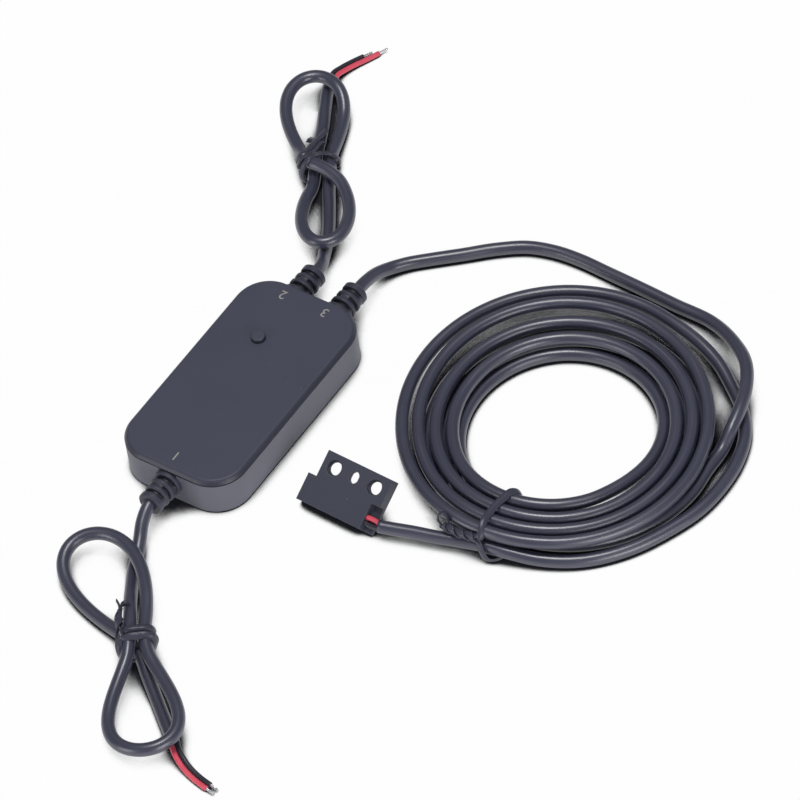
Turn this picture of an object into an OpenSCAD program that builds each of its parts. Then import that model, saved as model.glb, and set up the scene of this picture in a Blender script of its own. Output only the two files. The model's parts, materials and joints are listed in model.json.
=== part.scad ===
// Garage door controller: a small moulded case with a push button, three cables and a door sensor.
// Units are millimetres. The origin is the centre of the case underside, +Z is up and
// +Y points to the end of the case with two cables.

/* [Case] */
// Length of the case along Y
case_length = 77.4; // [60:0.2:110]
// Width of the case along X
case_width = 41; // [34:0.2:70]
// Radius of the case corners seen from above
case_corner = 10.9; // [6:0.1:15]
// Height of the parting line above the underside
base_height = 12; // [10:0.1:20]
// Thickness of the case walls and floor
wall = 1.6; // [1.2:0.1:3]
// Height of the cover above the parting line
cover_rise = 1.6; // [1.2:0.1:3]
// Width of the visible groove at the parting line
parting_groove = 0.4; // [0.1:0.05:0.6]

/* [Button] */
// Place of the button on the cover
button_at = [-4.3, 15.9];
// Radius of the button
button_r = 2.2; // [1.5:0.1:5]
// Clearance round the button
button_gap = 0.08; // [0.02:0.01:0.1]
// How far the button stands above the cover
button_proud = 1.4; // [0.5:0.1:3]

/* [Cables] */
// Diameter of the three cables
cable_d = 4; // [3.6:0.1:4]
// Height of the cable axis where it leaves the case
outlet_z = 7.2; // [6:0.1:8]
// Distance of the two side by side outlets from the middle
outlet_x = 7.5; // [6:0.1:10]
// Diameter of the insulated cores
core_d = 1.6; // [1:0.1:2]

/* [Strain reliefs] */
// Length of a strain relief outside the wall
relief_length = 10.2; // [8:0.1:14]
// Radius of the collar against the wall
collar_r = 4.5; // [4:0.1:6]
// Radius of the core between the rings
relief_core_r = 2.8; // [2.8:0.05:3.5]

/* [Coil] */
// Centre of the coil
coil_centre = [89.8, 35];
// Radius of the innermost turn
coil_inner_r = 30.3; // [25:0.1:40]
// Distance between turns at the tie
coil_pitch = 4.5; // [4.5:0.05:5]
// How much wider the turns of the lower layer lie on the far side of the coil
coil_spread_low = 0.9; // [0:0.1:3]
// How much wider the turns of the upper layer lie there
coil_spread_high = 1.7; // [0:0.1:3]

/* [Sensor] */
// Width of the sensor body
sensor_width = 26; // [24:0.1:34]
// Width of the sensor flange
flange_width = 23.2; // [20:0.1:30]
// Height of the sensor across both parts
sensor_height = 17; // [14:0.1:22]
// Height of the wider lower part
body_height = 8.5; // [6:0.1:12]
// Thickness of the sensor
sensor_thick = 4.1; // [4:0.1:8]
// Radius of the two screw holes
screw_hole_r = 1.95; // [1.6:0.05:2.2]
// Radius of the recess for a screw head
screw_head_r = 2.45; // [2.3:0.05:2.8]
// Distance between the two screw holes
screw_spacing = 14.5; // [10:0.1:18]
// Lean of the sensor, which its stiff cable holds up
sensor_lean = 32.3; // [0:0.1:60]

/* [Hidden] */
$fn = 64;
cable_r = cable_d / 2;
cover_top = base_height + cover_rise;
outlet_y = case_length / 2;
layer_low = cable_r;
layer_high = cable_r + coil_pitch;
button_top = cover_top + button_proud;

// Case details
lip_gap = 0.15;
lip_thick = 1.2;
lip_depth = 1.8;
snap_y = [-18, 18];
snap_length = 9;
snap_size = 0.3;
board_z = 3.6;
board_thick = 1.6;
board_top = board_z + board_thick;
post_at = [[13.5, 26], [-13.5, 26], [13.5, -26], [-13.5, -26]];

// Strain relief sections: start, end and radius measured from the wall
rings = [[2.9, 4.3, 4.2], [5.4, 6.8, 4.05], [8.2, 10.2, 3.95]];
grooves = [[1.4, 2.9], [4.3, 5.4], [6.8, 8.2]];
rib_width = 2.8;
rib_reach = 3.7;
pair_stretch = 1.1;
neck_r = 3;
flange_r = 3.6;
flange_thick = 1.15;
flange_off = wall + 0.3;
inner_end = outlet_y - wall - flange_thick - 0.75;

// Raised strands sit this far over for each millimetre of height
raised_lean = [0.56, -0.67];

// Route of the power lead from the case to its hank
dc_stem = [
    [0, -inner_end, outlet_z], [0, -42, 7.2], [0, -49.4, 7.2], [0.9, -54, 5.6], [2.8, -58.6, 3.45],
    [4.8, -63, 2.15], [7, -68, 2], [10.6, -74, 3.05], [15, -80.6, 5.2], [19.4, -86.6, 7.15],
    [23.2, -92.4, 7.8]
];
dc_waist = [23.3, -89];
dc_low_heights = [[0, 7.8], [0.3, 4.3], [0.57, 6.7], [0.8, 6.9], [1, 7.8]];
dc_high_heights = [[0, 7.8], [0.2, 7.05], [0.36, 6.9], [0.8, 2.15], [1, 3.45]];
dc_end = [
    [27.6, -94, 3.25], [33, -98.4, 2.25], [39.5, -103.6, 2], [46, -108.8, 2], [54, -115.2, 2]
];

// Route of the push button lead from the case to its hank
pb_stem = [
    [-outlet_x, inner_end, outlet_z], [-7.5, 42, 7.2], [-7.5, 50.2, 7.2], [-8.6, 54.3, 5.65],
    [-10.9, 58.4, 3.35], [-13.4, 63.2, 2.1], [-16.4, 69.2, 2], [-21.2, 76.8, 2], [-26, 84, 2.5],
    [-29.8, 90.4, 3.3]
];
pb_waist = [-36.6, 92.4];
pb_high_heights = [[0, 3.3], [0.2, 2.7], [0.4, 6.7], [0.56, 6.7], [0.8, 4.75], [1, 5.4]];
pb_cross = [[-37, 90.6, 7.55], [-32.4, 90.4, 7.7]];
pb_low_at = [-31.5, 89.1];
pb_low_heights = [[0, 7.55], [0.3, 6.7], [0.52, 6.8], [0.9, 2.6], [1, 2.6]];
pb_end = [
    [-34.2, 88.8, 2.7], [-37, 93.9, 3.3], [-39.2, 98.6, 2.8], [-42.2, 104.6, 2.05], [-46.2, 112, 2],
    [-49.8, 119.2, 2], [-50.8, 123.2, 2]
];

// Route of the sensor lead from the case to the coil
sensor_stem = [
    [outlet_x, inner_end, outlet_z], [7.5, 42, 7.2], [7.5, 50.2, 7.2], [7.2, 55.2, 6.1], [7.2, 60.2, 4.45],
    [8.6, 65.6, 2.5], [11.8, 70, 2], [17, 74.6, 2], [24.5, 80.8, 2], [33, 88, 2],
    [40.5, 92.8, 2], [49, 95.2, 2], [58, 95.8, 2], [66.5, 95.4, 2], [79.5, 94.8, 2],
    [92, 94, 2.05], [105.5, 92.8, 2.8], [116, 88, 4.75], [124.8, 81, 6.5], [130, 72.4, 6.8], [132.4, 65, 6.7],
    [133.4, 58.8, 5.4], [133.8, 52, 2.4], [133.8, 44.6, 2]
];
coil_lead = 0.14;
coil_reverse = 3.35;
coil_climb = [2.68, 3.2];
coil_bulge = 2.1;
coil_bulge_from = 2.6;
coil_bulge_turns = 0.68;
coil_end = 6.778;
coil_drop = 1.2;
coil_drop_from = 6.34;
coil_drop_turns = 0.4;
coil_tie_angle = -90;
coil_hump = 1.7;
coil_wide_angle = 130;
coil_oval_angle = 205;
coil_oval = 1.3;
coil_stray = [0, 0, 0, 0, 0, 0.3, 0.16, 0];

// Route of the sensor cable from the coil to the sensor
sensor_tail_route = [
    [107.4, 82.8, 4.75], [116, 79.4, 3.55], [123.6, 74.4, 2.4], [131, 68.2, 2], [136.8, 60.2, 2],
    [140, 50.5, 2], [140.8, 40.5, 2], [139.8, 30.4, 2], [135.8, 19.1, 2], [129.4, 7.4, 2],
    [120.2, -2.2, 2], [108.9, -8.4, 2.5], [99.6, -11.3, 3.6], [91, -12.9, 3.75], [84.5, -14.7, 3.7],
    [78, -16.5, 3.6], [71.6, -18.2, 3.7], [66.2, -19.9, 3.8], [61.93, -21.19, 3.95]
];

// Ties: the outline of one turn as [across, height] pairs, then the run of the free ends
dc_tie_at = [26, -92.8, 0];
dc_tie_axis = [0.67, -0.74, 0];
dc_tie_outline = [
    [-5.1, 9.5], [-2.7, 10.4], [0.3, 10.5], [3.1, 10.4], [5.2, 9.5], [6, 7.4], [5.4, 5], [2.7, 1.6],
    [-0.4, 0.5], [-3.3, 1.2], [-5.5, 4.2], [-5.9, 7.2]
];
dc_tie_start = [[15.3, -83.5, 9.7], [16.2, -86.3, 9.3], [18, -90, 9.2], [20.2, -93, 9.3]];
dc_tie_finish = [[21.5, -98, 9], [20.2, -97, 8.2], [18.6, -94.6, 7.8]];
pb_tie_at = [-37, 93.9, 0];
pb_tie_axis = [0.53, -0.85, 0];
pb_tie_outline = [
    [-7.8, 7.2], [-5.7, 8.3], [-3.6, 8.8], [0, 6.4], [2.4, 6.1], [4.9, 6.2], [7.1, 5.3], [8, 3.1], [7.2, 1.1],
    [4.8, 0.5], [2.4, 0.5], [0, 0.5], [-3.3, 1], [-7.1, 2], [-8.8, 4.7]
];
pb_tie_start = [[-37.4, 100.2, 7.4], [-39, 97.4, 8], [-40.8, 95, 8.4]];
pb_tie_finish = [[-42.6, 85.4, 5.4], [-40.6, 83.2, 6], [-38.2, 82, 6.4], [-37.2, 83.2, 7], [-38.6, 85, 7.4]];
coil_tie_route = [
    [77.4, -11.4, 8.8], [76.4, -12.5, 8.2], [79, -13.5, 8], [83, -13.9, 7.9], [87, -14.4, 7.8],
    [91.6, -15, 7.7], [94.8, -16, 6.2], [96, -17.2, 4], [97.6, -18, 2.2], [99.4, -17, 1.2],
    [99.4, -14.6, 0.78], [97.6, -11.4, 0.75], [95.4, -5.4, 0.75], [93.6, -0.4, 0.75], [92.4, 3.2, 0.8],
    [91.9, 5.6, 1.4], [91.6, 6.9, 4.3], [91.4, 6.2, 8], [91.3, 5, 10.5], [91.8, 2.4, 11.3],
    [92.6, -3, 11.3], [93.3, -8, 11.3], [93.7, -11, 11.1], [93.6, -13.4, 10.2], [91, -14.5, 9.7],
    [87, -14.4, 9.6], [83, -14.1, 9.6], [80, -13.8, 9.6]
];
tie_half = [0.9, 0.4];
tie_pitch = 2.2;
coil_tie_half = [0.75, 0.75];

// Bare ends of the two open cables
dc_cores = [
    [54, -115.2, 2], [57, -117.6, 2], [61.4, -119.9, 1.3], [66, -121.3, 0.85], [70.4, -122.2, 0.85]
];
pb_cores = [
    [-50.8, 123.2, 2], [-51.3, 125.2, 2], [-50.8, 128.4, 1.5], [-49.4, 132.4, 1.1],
    [-47.4, 136.6, 0.85], [-45.6, 140.4, 0.85]
];
pb_black_cores = [for (i = [0 : len(pb_cores) - 2]) pb_cores[i]];
bare_length = 3.6;
bare_r = 0.4;

// Sensor placing
sensor_at = [34.5, -21.5, 0];
sensor_turn = -2.2;
flange_left = sensor_width - flange_width;
hole_in = 4;
hole_down = 4.1;
head_depth = 1.6;
back_recess = sensor_thick - head_depth - 0.9;
recess_width = 3.2;
recess_height = 8.3;
recess_floor = sensor_thick - 2.7;
pocket = [[3, 2, 0], [17.4, 5, sensor_thick - 1.3]];

// Which piece to build

// Vectors and routes
function unit(v) = v / norm(v);
function ease(a, b, t) = a + (b - a) * (1 - cos(180 * t)) / 2;
function height_at(t, table, i = 0) =
    t <= table[i + 1][0] || i == len(table) - 2
        ? ease(table[i][1], table[i + 1][1], (t - table[i][0]) / (table[i + 1][0] - table[i][0]))
        : height_at(t, table, i + 1);
function lifted(p) = [
    p[0] + raised_lean[0] * (p[2] - layer_low), p[1] + raised_lean[1] * (p[2] - layer_low), p[2]
];

// One loop of a hank, drawn in at the waist
function loop_point(at, heading, length, width, belly, side, start, finish, heights, t) =
    let (
        turn = 180 * t,
        peak = pow(belly, belly / 2) / pow(belly + 1, (belly + 1) / 2),
        u = length * pow(sin(turn), 2),
        v = side * width / 2 * pow(sin(turn), belly) * cos(turn) / peak + start + (finish - start) * t
    )
    lifted([
        at[0] + u * cos(heading) - v * sin(heading),
        at[1] + u * sin(heading) + v * cos(heading),
        height_at(t, heights)
    ]);
function loop(at, heading, length, width, belly, side, start, finish, heights, first, last) = [
    for (i = [first : last])
        loop_point(at, heading, length, width, belly, side, start, finish, heights, i / 24)
];

// Turns of the coil, which step in on the floor and out again on top. Each turn lies level round the far half
// of the coil and moves over by one place in the near half.
function limit(t) = min(1, max(0, t));
function bump(t) = t <= 0 || t >= 1 ? 0 : pow(sin(180 * t), 2);
function facing(a, at, sharp) = pow((1 + cos(a - at)) / 2, sharp);
function coil_share(t) = t + coil_lead - floor(t + coil_lead);
function coil_place(t) =
    let (turn = floor(t + coil_lead))
    abs(turn + ease(0, 1, limit(2 * coil_share(t))) - coil_reverse)
    + coil_stray[turn] * bump(2 * coil_share(t) - 1);
function coil_climbed(t) = limit((t - coil_climb[0]) / (coil_climb[1] - coil_climb[0]));
function coil_radius(t, a) =
    let (spread = ease(coil_spread_low, coil_spread_high, coil_climbed(t)))
    coil_inner_r - coil_oval * facing(a, coil_oval_angle, 3)
    + coil_place(t) * (coil_pitch + spread * facing(a, coil_wide_angle, 2.5))
    - coil_bulge * bump((t - coil_bulge_from) / coil_bulge_turns);
function coil_height(t, a) =
    ease(layer_low, layer_high, coil_climbed(t)) + coil_hump * facing(a, coil_tie_angle, 8)
    - ease(0, coil_drop, limit((t - coil_drop_from) / coil_drop_turns));
function coil_point(t) =
    let (a = -360 * t, r = coil_radius(t, a))
    [coil_centre[0] + r * cos(a), coil_centre[1] + r * sin(a), coil_height(t, a)];
coil_steps = ceil(coil_end * 24);
coil_route = [for (i = [0 : coil_steps]) coil_point(coil_end * i / coil_steps)];

dc_hank_route = concat(
    loop(dc_waist, -51.5, 39.6, 18.6, 3, -1, -2.8, 2.2, dc_low_heights, 3, 21),
    loop(dc_waist + [-0.7, 0.2], 146.4, 43.4, 20.2, 2, -1, -2.5, 1.4, dc_high_heights, 2, 22),
    dc_end
);
pb_hank_route = concat(
    loop(pb_waist, 126.5, 34.8, 14.6, 2, -1, -4.8, 3.2, pb_high_heights, 2, 21),
    [for (p = pb_cross) lifted(p)],
    loop(pb_low_at, -60, 29, 14.2, 1.6, 1, 2.2, 1.4, pb_low_heights, 3, 20),
    pb_end
);
dc_route = concat(dc_stem, dc_hank_route);
pb_route = concat(pb_stem, pb_hank_route);
sensor_route = concat(sensor_stem, coil_route, sensor_tail_route);
dc_join = len(dc_stem) - 1;
pb_join = len(pb_stem) - 1;
coil_first = len(sensor_stem);
coil_last = coil_first + len(coil_route) - 1;

// Least gap between stretches of one cable that are far apart along it
function run_of(p) = [
    for (i = 0, s = 0; i < len(p); s = s + (i + 1 < len(p) ? norm(p[i + 1] - p[i]) : 0), i = i + 1) s
];
function least_gap(p) =
    let (s = run_of(p))
    min([
        for (i = [0 : len(p) - 1]) for (j = [i + 1 : 1 : len(p) - 1])
            if (s[j] - s[i] > 3.4 * cable_d) norm(p[i] - p[j])
    ]) - cable_d;
echo(dc_gap = least_gap(dc_route), dc_length = run_of(dc_route)[len(dc_route) - 1]);
echo(pb_gap = least_gap(pb_route), pb_length = run_of(pb_route)[len(pb_route) - 1]);
echo(sensor_gap = least_gap(sensor_route), sensor_length = run_of(sensor_route)[len(sensor_route) - 1]);

// A tube swept along part of a route
function along(p, i) = unit(p[min(i + 1, len(p) - 1)] - p[max(i - 1, 0)]);
function squared(n, t) = unit(n - (n * t) * t);
function across_all(p, start) = [
    for (i = 0, n = start; i < len(p); i = i + 1, n = i < len(p) ? squared(n, along(p, i)) : n)
        i == 0 ? squared(n, along(p, 0)) : n
];
function ring(at, t, across, half, sides) =
    let (lift = cross(across, t))
    [
        for (k = [0 : sides - 1])
            at + half[0] * cos(360 * k / sides) * across + half[1] * sin(360 * k / sides) * lift
    ];
function skin(rows, sides) = [
    for (i = [0 : rows - 2]) for (k = [0 : sides - 1]) for (half = [0, 1])
        let (a = i * sides + k, b = i * sides + (k + 1) % sides)
        half == 0 ? [a, b, b + sides] : [a, b + sides, a + sides]
];
function caps(rows, sides) = [
    for (k = [1 : sides - 2]) for (end = [0, 1])
        let (base = end * (rows - 1) * sides)
        end == 0 ? [base, base + k + 1, base + k] : [base, base + k, base + k + 1]
];
module sweep(p, half, sides, first, last, start) {
    rows = last - first + 1;
    across = across_all(p, start);
    polyhedron(
        points = [for (i = [first : last]) for (q = ring(p[i], along(p, i), across[i], half, sides)) q],
        faces = concat(skin(rows, sides), caps(rows, sides))
    );
}
module tube(p, r, sides, first, last) {
    sweep(p, [r, r], sides, first, last, cross(along(p, 0), [0, 0, 1]));
}

// Two turns of a flat tie round a bundle, with its free ends
function tie_turns(at, axis, outline) = [
    for (turn = [0, 1]) for (i = [0 : len(outline) - 1])
        at + outline[i][0] * cross([0, 0, 1], axis) + [0, 0, outline[i][1]]
        + axis * tie_pitch * (turn + i / len(outline) - 1)
];
module flat_tie(at, axis, outline, start, finish) {
    p = concat(start, tie_turns(at, axis, outline), finish);
    sweep(p, tie_half, 6, 0, len(p) - 1, axis);
}
function beside(p, off) = [
    for (i = [0 : len(p) - 1]) p[i] + off * unit(cross(along(p, i), [0, 0, 1]))
];

// Outlines
module plate(w, l, r) {
    square([w - 2 * r, l], center = true);
    square([w, l - 2 * r], center = true);
    for (x = [-1, 1]) for (y = [-1, 1]) translate([x * (w / 2 - r), y * (l / 2 - r)]) circle(r);
}
module slab(w, l, r, z, h) {
    translate([0, 0, z]) linear_extrude(h) plate(w, l, r);
}
// A slab whose upper edge steps in along a profile of [inset, height] pairs
module edged_slab(w, l, r, edge) {
    top = edge[len(edge) - 1][1];
    for (x = [-1, 1]) for (y = [-1, 1]) translate([x * (w / 2 - r), y * (l / 2 - r), 0])
        rotate_extrude() polygon(concat([[0, 0]], [for (e = edge) [r - e[0], e[1]]], [[0, top]]));
    rotate([90, 0, 0]) linear_extrude(l - 2 * r, center = true) edge_section(w, edge);
    rotate([90, 0, 90]) linear_extrude(w - 2 * r, center = true) edge_section(l, edge);
}
module edge_section(w, edge) {
    polygon(concat(
        [for (e = edge) [w / 2 - e[0], e[1]]],
        [for (i = [len(edge) - 1 : -1 : 0]) [-w / 2 + edge[i][0], edge[i][1]]]
    ));
}
module at_outlets() {
    translate([0, -outlet_y, outlet_z]) rotate([90, 0, 0]) children();
    for (x = [-outlet_x, outlet_x]) translate([x, outlet_y, outlet_z]) rotate([90, 0, 180]) children();
}

// Case
module base_tray() {
    color([0.27, 0.28, 0.32]) {
        difference() {
            union() {
                translate([0, 0, base_height - parting_groove]) mirror([0, 0, 1])
                    edged_slab(
                        case_width, case_length, case_corner,
                        [[0, 0], [0, base_height - parting_groove - 0.5], [0.5, base_height - parting_groove]]
                    );
                slab(
                    case_width - 0.9, case_length - 0.9, case_corner - 0.45,
                    base_height - parting_groove, parting_groove
                );
            }
            slab(case_width - 2 * wall, case_length - 2 * wall, case_corner - wall, wall, base_height);
            at_outlets() outlet_slot(neck_r + 0.05);
            for (x = [-1, 1]) for (y = snap_y)
                translate([x * (case_width / 2 - wall), y, base_height - 1])
                    cube([2 * snap_size + 0.1, snap_length + 0.4, 0.9], center = true);
        }
        difference() {
            for (p = post_at) translate([p[0], p[1], 0.8]) cylinder(r = 2.2, h = board_z - 0.8);
            for (p = post_at) translate([p[0], p[1], wall]) cylinder(r = 0.85, h = board_z);
        }
    }
}
// A slot through the wall that is open towards the cover
module outlet_slot(r) {
    translate([0, 0, -wall - 1]) cylinder(r = r, h = wall + 2);
    translate([-r, 0, -wall - 1]) cube([2 * r, base_height, wall + 2]);
}
module top_cover() {
    lip_w = case_width - 2 * wall - 2 * lip_gap;
    lip_l = case_length - 2 * wall - 2 * lip_gap;
    lip_r = case_corner - wall - lip_gap;
    color([0.25, 0.26, 0.3]) difference() {
        union() {
            translate([0, 0, base_height])
                edged_slab(
                    case_width, case_length, case_corner,
                    [[0, 0], [0, 0.15], [0.55, 0.95], [0.95, 1.35], [1.5, cover_rise]]
                );
            difference() {
                slab(lip_w, lip_l, lip_r, base_height - lip_depth, lip_depth);
                slab(
                    lip_w - 2 * lip_thick, lip_l - 2 * lip_thick, lip_r - lip_thick,
                    base_height - lip_depth - 1, lip_depth + 1
                );
                at_outlets() translate([-flange_r - 0.4, -2, -wall - 4]) cube([2 * flange_r + 0.8, 12, 5]);
            }
            for (x = [-1, 1]) for (y = snap_y)
                translate([x * (lip_w / 2), y, base_height - 1])
                    cube([2 * snap_size, snap_length, 0.6], center = true);
            at_outlets() translate([-neck_r + 0.05, neck_r + 0.1, -wall])
                cube([2 * neck_r - 0.1, base_height - outlet_z - neck_r, wall]);
        }
        translate([button_at[0], button_at[1], base_height - 1])
            cylinder(r = button_r + button_gap, h = cover_rise + 2);
    }
}

// Button and its switch
module button_cap() {
    color([0.18, 0.18, 0.2]) translate([button_at[0], button_at[1], 0]) {
        rotate_extrude() polygon([
            [0, 9.4], [1.5, 9.4], [1.5, 11.15], [3.2, 11.15], [3.2, base_height - 0.05],
            [button_r, base_height - 0.05], [button_r, button_top - 0.3], [button_r - 0.3, button_top],
            [0, button_top]
        ]);
    }
}
module tact_plunger() {
    color([0.1, 0.1, 0.1]) translate([button_at[0], button_at[1], 8.2]) cylinder(r = 1.7, h = 1.2);
}
module tact_switch() {
    color([0.12, 0.12, 0.13]) translate([button_at[0], button_at[1], board_top]) {
        difference() {
            translate([-3, -3, 0]) cube([6, 6, 3.5]);
            translate([0, 0, 2.4]) cylinder(r = 1.75, h = 2);
        }
        for (x = [-1, 1]) for (y = [-2.25, 2.25])
            translate([x * 3.4 - 0.4, y - 0.35, 0]) cube([0.8, 0.7, 0.5]);
    }
}

// Board and what is on it
module main_board() {
    color([0.1, 0.35, 0.2]) difference() {
        slab(34, 62, 5, board_z, board_thick);
        for (p = post_at) translate([p[0], p[1], board_z - 1]) cylinder(r = 1.1, h = board_thick + 2);
    }
}
module board_screws() {
    color([0.7, 0.7, 0.72]) for (p = post_at) translate([p[0], p[1], 0]) {
        translate([0, 0, wall + 0.1]) cylinder(r = 0.8, h = board_top - wall - 0.1);
        difference() {
            translate([0, 0, board_top]) cylinder(r = 1.8, h = 1.3);
            for (a = [0, 90]) translate([0, 0, board_top + 1])
                rotate([0, 0, a]) cube([2, 0.5, 1], center = true);
        }
    }
}
module wire_terminals() {
    color([0.15, 0.4, 0.25]) {
        terminal(0, -1);
        terminal(-outlet_x, 1);
        terminal(outlet_x, 1);
    }
}
module terminal(x, end) {
    translate([x, end * 27.4, board_top]) difference() {
        translate([-3.4, -2.6, 0]) cube([6.8, 5.2, 5]);
        for (dx = [-1.5, 1.5]) translate([dx, 0, 3.6]) cylinder(r = 1, h = 2);
    }
}
module signal_relay() {
    color([0.85, 0.85, 0.82]) translate([4, -21, board_top]) cube([10.6, 7.5, 5.2]);
}
module buck_inductor() {
    color([0.2, 0.2, 0.2]) translate([-12.5, -19, board_top]) {
        difference() {
            cube([6.6, 6.6, 3]);
            translate([3.3, 3.3, 2.6]) cylinder(r = 2.2, h = 1);
        }
    }
}
module capacitors() {
    color([0.75, 0.75, 0.78]) for (p = [[-7.2, -8.2], [-2, -17]]) translate([p[0], p[1], board_top]) {
        translate([-2.7, -2.7, 0]) cube([5.4, 5.4, 0.8]);
        cylinder(r = 2.5, h = 5.4);
    }
}
module rectifier_diode() {
    color([0.1, 0.1, 0.1]) translate([-15.6, -10.6, board_top]) {
        cube([4.3, 2.6, 2.2]);
        translate([-0.6, 0.5, 0]) cube([5.5, 1.6, 0.3]);
    }
}
module regulator() {
    color([0.1, 0.1, 0.1]) translate([-3, -11.6, board_top]) {
        cube([4.9, 3.9, 1.5]);
        for (i = [0 : 3]) translate([0.4 + 1.27 * i, -1, 0]) cube([0.4, 5.9, 0.25]);
    }
}
module radio_module() {
    color([0.05, 0.2, 0.3]) translate([0, -3, board_top]) cube([16, 24, 0.8]);
}
module shield_can() {
    color([0.8, 0.8, 0.82]) translate([1.5, -1.5, board_top + 0.8]) cube([13, 15.5, 2.4]);
}

// Wires between the cable ends and the terminals
module inner_wires(dx) {
    for (e = [[0, -1], [-outlet_x, 1], [outlet_x, 1]])
        translate([e[0] + dx, e[1] * 30, outlet_z]) rotate([-90 * e[1], 0, 0])
            cylinder(r = core_d / 2 - 0.1, h = inner_end - 30);
}
module inner_red_wires() {
    color([0.8, 0.15, 0.2]) inner_wires(-0.85);
}
module inner_black_wires() {
    color([0.08, 0.08, 0.08]) inner_wires(0.85);
}

// Strain reliefs, drawn along +Z from the outer face of the wall
module relief(stretch) {
    difference() {
        union() {
            rotate_extrude() polygon([
                [0, -flange_off - flange_thick], [flange_r, -flange_off - flange_thick],
                [flange_r, -flange_off], [neck_r, -flange_off], [neck_r, 0.05], [collar_r - 0.2, 0.05],
                [collar_r, 0.25], [collar_r, 1.4 * stretch - 0.2], [collar_r - 0.2, 1.4 * stretch],
                [relief_core_r, 1.4 * stretch], [relief_core_r, (relief_length - 1) * stretch],
                [0, (relief_length - 1) * stretch]
            ]);
            for (g = rings) translate([0, 0, g[0] * stretch]) rotate_extrude() polygon([
                [0, 0], [g[2] - 0.2, 0], [g[2], 0.2], [g[2], (g[1] - g[0]) * stretch - 0.5],
                [g[2] - 0.5, (g[1] - g[0]) * stretch], [0, (g[1] - g[0]) * stretch]
            ]);
            for (i = [0 : 2]) translate([0, 0, grooves[i][0] * stretch - 0.1]) rotate([0, 0, i == 1 ? 90 : 0])
                intersection() {
                    cylinder(r = rib_reach, h = (grooves[i][1] - grooves[i][0]) * stretch + 0.2);
                    translate([-6, -rib_width / 2, -1]) cube([12, rib_width, 5]);
                }
        }
        translate([0, 0, -10]) cylinder(r = cable_r + 0.1, h = 30);
    }
}
module dc_strain_relief() {
    color([0.14, 0.14, 0.16]) translate([0, -outlet_y, outlet_z]) rotate([90, 0, 0]) relief(1);
}
module push_button_strain_relief() {
    color([0.14, 0.14, 0.16]) translate([-outlet_x, outlet_y, outlet_z]) rotate([90, 0, 180])
        relief(pair_stretch);
}
module sensor_strain_relief() {
    color([0.14, 0.14, 0.16]) translate([outlet_x, outlet_y, outlet_z]) rotate([90, 0, 180])
        relief(pair_stretch);
}

// Cables
module dc_lead() {
    color([0.2, 0.2, 0.22]) tube(dc_route, cable_r, 8, 0, dc_join);
}
module dc_hank() {
    color([0.2, 0.2, 0.22]) tube(dc_route, cable_r, 6, dc_join, len(dc_route) - 1);
}
module push_button_lead() {
    color([0.2, 0.2, 0.22]) tube(pb_route, cable_r, 8, 0, pb_join);
}
module push_button_hank() {
    color([0.2, 0.2, 0.22]) tube(pb_route, cable_r, 6, pb_join, len(pb_route) - 1);
}
module sensor_lead() {
    color([0.2, 0.2, 0.22]) tube(sensor_route, cable_r, 8, 0, coil_first);
}
module sensor_coil() {
    color([0.2, 0.2, 0.22]) tube(sensor_route, cable_r, 6, coil_first, coil_last);
}
module sensor_tail() {
    color([0.2, 0.2, 0.22]) tube(sensor_route, cable_r, 8, coil_last, len(sensor_route) - 1);
}

// Cores and their bare ends
module core(p, off) {
    tube(beside(p, off), core_d / 2, 8, 0, len(p) - 1);
}
module bare_end(p, off) {
    n = len(p) - 1;
    t = along(p, n);
    translate(beside(p, off)[n])
        rotate([0, 0, atan2(t[1], t[0])]) rotate([0, 90, 0]) cylinder(r = bare_r, h = bare_length);
}
module dc_red_wire() {
    color([0.85, 0.2, 0.3]) core(dc_cores, 0.85);
}
module dc_black_wire() {
    color([0.08, 0.08, 0.08]) core(dc_cores, -0.85);
}
module dc_bare_ends() {
    color([0.85, 0.85, 0.85]) {
        bare_end(dc_cores, 0.85);
        bare_end(dc_cores, -0.85);
    }
}
module push_button_red_wire() {
    color([0.85, 0.2, 0.3]) core(pb_cores, 0.85);
}
module push_button_black_wire() {
    color([0.08, 0.08, 0.08]) core(pb_black_cores, -0.85);
}
module push_button_bare_ends() {
    color([0.85, 0.85, 0.85]) {
        bare_end(pb_cores, 0.85);
        bare_end(pb_black_cores, -0.85);
    }
}

// Ties
module dc_tie() {
    color([0.1, 0.1, 0.1]) flat_tie(dc_tie_at, dc_tie_axis, dc_tie_outline, dc_tie_start, dc_tie_finish);
}
module push_button_tie() {
    color([0.1, 0.1, 0.1]) flat_tie(pb_tie_at, pb_tie_axis, pb_tie_outline, pb_tie_start, pb_tie_finish);
}
module coil_tie() {
    color([0.1, 0.1, 0.1]) sweep(coil_tie_route, coil_tie_half, 6, 0, len(coil_tie_route) - 1, [0, 0, 1]);
}

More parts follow.
